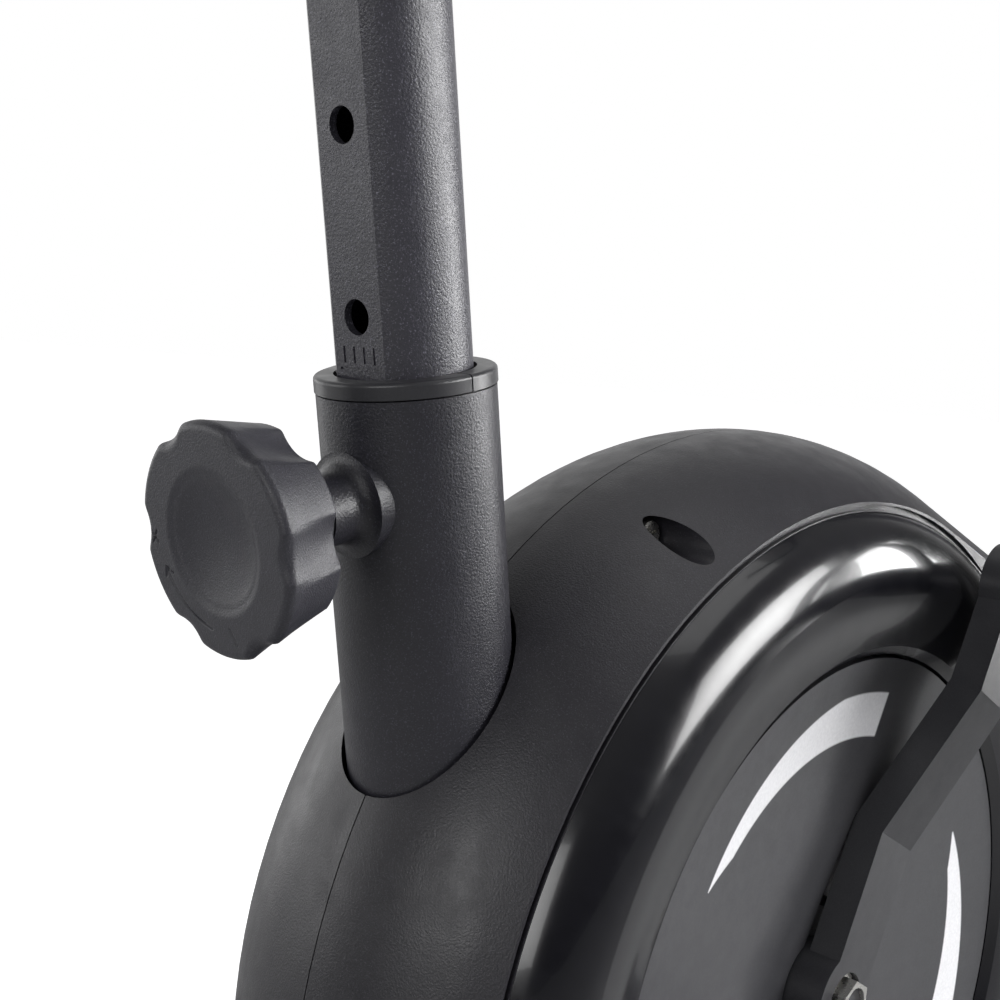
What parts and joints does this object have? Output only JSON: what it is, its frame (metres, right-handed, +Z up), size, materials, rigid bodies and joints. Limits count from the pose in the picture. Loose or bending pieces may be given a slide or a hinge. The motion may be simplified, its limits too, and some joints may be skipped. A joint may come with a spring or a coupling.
{
  "type": "exercise bike",
  "caption": "Upright magnetic exercise bike with sliding seat post, locking knob, belt-driven flywheel in a round housing, pedals, handlebar and console.",
  "frame": {"origin": "on the floor, in the middle of the footprint", "axes": "+Z up, +Y towards the back of the bike, so the rider faces -Y and the rider's right side is -X"},
  "size_m": [0.5, 0.845, 1.1574],
  "materials": {
    "frame_paint": "matt black powder coat, fine texture",
    "post_paint": "satin charcoal powder coat with fine sparkle",
    "crank_paint": "satin dark grey paint",
    "fastener_zinc": "bright zinc plate",
    "shaft_steel": "ground steel",
    "spring_steel": "oiled spring steel",
    "housing_plastic": "matt black with a fine grain",
    "bush_plastic": "satin black",
    "knob_plastic": "soft black",
    "ring_gloss": "piano black",
    "disc_gloss": "gloss grey with light crescents",
    "pulley_plastic": "black nylon",
    "saddle_cover": "black vinyl, embossed",
    "grip_foam": "dense foam",
    "strap_rubber": "soft grey rubber",
    "belt_rubber": "ribbed rubber",
    "wheel_rubber": "dark grey rubber",
    "flywheel_iron": "turned cast iron",
    "bracket_steel": "zinc plated plate",
    "screen_glass": "liquid crystal display behind a clear lens",
    "button_plastic": "gloss grey"
  },
  "bodies": {
    "frame": {"base_beam": "frame_paint", "rear_stabiliser": "frame_paint", "front_stabiliser": "frame_paint", "stabiliser_bolts": "fastener_zinc", "front_feet": "housing_plastic", "seat_tube": "frame_paint", "seat_bush": "bush_plastic", "adjuster_sleeve": "shaft_steel", "adjuster_spring": "spring_steel", "housing_right": "housing_plastic", "housing_left": "housing_plastic", "ring_right": "ring_gloss", "ring_left": "ring_gloss", "housing_screws": "fastener_zinc", "drive_frame": "frame_paint", "bearings": "shaft_steel", "drive_belt": "belt_rubber", "flywheel_axle": "shaft_steel", "idler_spring": "spring_steel", "brake_cable": "belt_rubber", "front_tube": "frame_paint", "handlebar_post": "post_paint", "post_bolts": "fastener_zinc", "tension_base": "housing_plastic", "handlebar_clamp": "frame_paint", "console_body": "housing_plastic", "console_screen": "screen_glass"},
    "seat": {"seat_post": "post_paint", "saddle_bracket": "frame_paint", "saddle_base": "bush_plastic", "saddle_pad": "saddle_cover", "saddle_nuts": "fastener_zinc"},
    "lock_pin": {"adjuster_pin": "shaft_steel"},
    "lock_knob": {"adjuster_knob": "knob_plastic"},
    "crankset": {"crank_axle": "shaft_steel", "crank_right": "crank_paint", "crank_left": "crank_paint", "crank_nuts": "fastener_zinc", "disc_right": "disc_gloss", "disc_left": "disc_gloss", "drive_pulley": "pulley_plastic", "pedal_axles": "shaft_steel"},
    "right_pedal": {"pedal_right": "knob_plastic", "strap_right": "strap_rubber"},
    "left_pedal": {"pedal_left": "knob_plastic", "strap_left": "strap_rubber"},
    "flywheel_body": {"flywheel": "flywheel_iron"},
    "idler": {"idler_arm": "bracket_steel"},
    "idler_roller": {"idler_wheel": "pulley_plastic"},
    "brake": {"magnet_bracket": "bracket_steel", "magnets": "bracket_steel"},
    "tension": {"tension_knob": "knob_plastic"},
    "bars": {"handlebar": "post_paint", "grips": "grip_foam"},
    "clamp_screw": {"clamp_knob": "knob_plastic"},
    "right_wheel": {"transport_wheel_right": "wheel_rubber"},
    "left_wheel": {"transport_wheel_left": "wheel_rubber"},
    "right_leveller": {"rear_leveller_right": "housing_plastic"},
    "left_leveller": {"rear_leveller_left": "housing_plastic"},
    "button": {"console_button": "button_plastic"}
  },
  "joints": [
    {"name": "crank_spin", "type": "hinge", "parent": "frame", "child": "crankset", "pos_m": [0, 0.0525, 0.3], "axis": [1, 0, 0], "continuous": true},
    {"name": "pedal_right_spin", "type": "hinge", "parent": "crankset", "child": "right_pedal", "pos_m": [0, -0.01764, 0.44381], "axis": [1, 0, 0], "continuous": true},
    {"name": "pedal_left_spin", "type": "hinge", "parent": "crankset", "child": "left_pedal", "pos_m": [0, 0.12264, 0.15619], "axis": [1, 0, 0], "continuous": true},
    {"name": "flywheel_spin", "type": "hinge", "parent": "frame", "child": "flywheel_body", "pos_m": [0, -0.1225, 0.262], "axis": [1, 0, 0], "continuous": true},
    {"name": "idler_swing", "type": "hinge", "parent": "frame", "child": "idler", "pos_m": [0, 0.0305, 0.17], "axis": [1, 0, 0], "range_deg": [0, 4], "stiffness_Nm_per_rad": 4},
    {"name": "idler_wheel_spin", "type": "hinge", "parent": "idler", "child": "idler_roller", "pos_m": [0, -0.06155, 0.20405], "axis": [1, 0, 0], "continuous": true},
    {"name": "magnet_swing", "type": "hinge", "parent": "frame", "child": "brake", "pos_m": [0, -0.20735, 0.34685], "axis": [1, 0, 0], "range_deg": [-1.5, 0]},
    {"name": "tension_turn", "type": "hinge", "parent": "frame", "child": "tension", "pos_m": [0, -0.31051, 0.86135], "axis": [0, 0.9976, 0.0698], "range_deg": [0, 300]},
    {"name": "seat_slide", "type": "slide", "parent": "frame", "child": "seat", "axis": [0, 0.1959, 0.9806], "range_m": [-0.2, 0]},
    {"name": "lock_pull", "type": "slide", "parent": "frame", "child": "lock_pin", "axis": [0, 0.9806, -0.1959], "range_m": [0, 0.012], "stiffness_N_per_m": 600, "deforming": ["adjuster_spring"]},
    {"name": "lock_turn", "type": "hinge", "parent": "lock_pin", "child": "lock_knob", "pos_m": [0, 0.21599, 0.47364], "axis": [0, 0.9806, -0.1959], "range_deg": [0, 360]},
    {"name": "handlebar_tilt", "type": "hinge", "parent": "frame", "child": "bars", "pos_m": [0, -0.27674, 1.00907], "axis": [1, 0, 0], "range_deg": [-20, 15]},
    {"name": "clamp_turn", "type": "hinge", "parent": "frame", "child": "clamp_screw", "pos_m": [0, -0.27457, 0.97814], "axis": [0, 0.9976, 0.0698], "range_deg": [0, 360]},
    {"name": "wheel_right_spin", "type": "hinge", "parent": "frame", "child": "right_wheel", "pos_m": [0, -0.3985, 0.027], "axis": [1, 0, 0], "continuous": true},
    {"name": "wheel_left_spin", "type": "hinge", "parent": "frame", "child": "left_wheel", "pos_m": [0, -0.3985, 0.027], "axis": [1, 0, 0], "continuous": true},
    {"name": "leveller_right_turn", "type": "hinge", "parent": "frame", "child": "right_leveller", "pos_m": [0, 0.3875, 0.035], "axis": [1, 0, 0], "range_deg": [-90, 90]},
    {"name": "leveller_left_turn", "type": "hinge", "parent": "frame", "child": "left_leveller", "pos_m": [0, 0.3875, 0.035], "axis": [1, 0, 0], "range_deg": [-90, 90]},
    {"name": "button_press", "type": "slide", "parent": "frame", "child": "button", "axis": [0, -0.5878, -0.809], "range_m": [0, 0.002], "stiffness_N_per_m": 300}
  ],
  "couplings": [
    {"joint": "crank_spin", "follows": "flywheel_spin", "ratio": 0.16404},
    {"joint": "idler_wheel_spin", "follows": "flywheel_spin", "ratio": -1.1231},
    {"joint": "magnet_swing", "follows": "tension_turn", "ratio": -0.005}
  ]
}
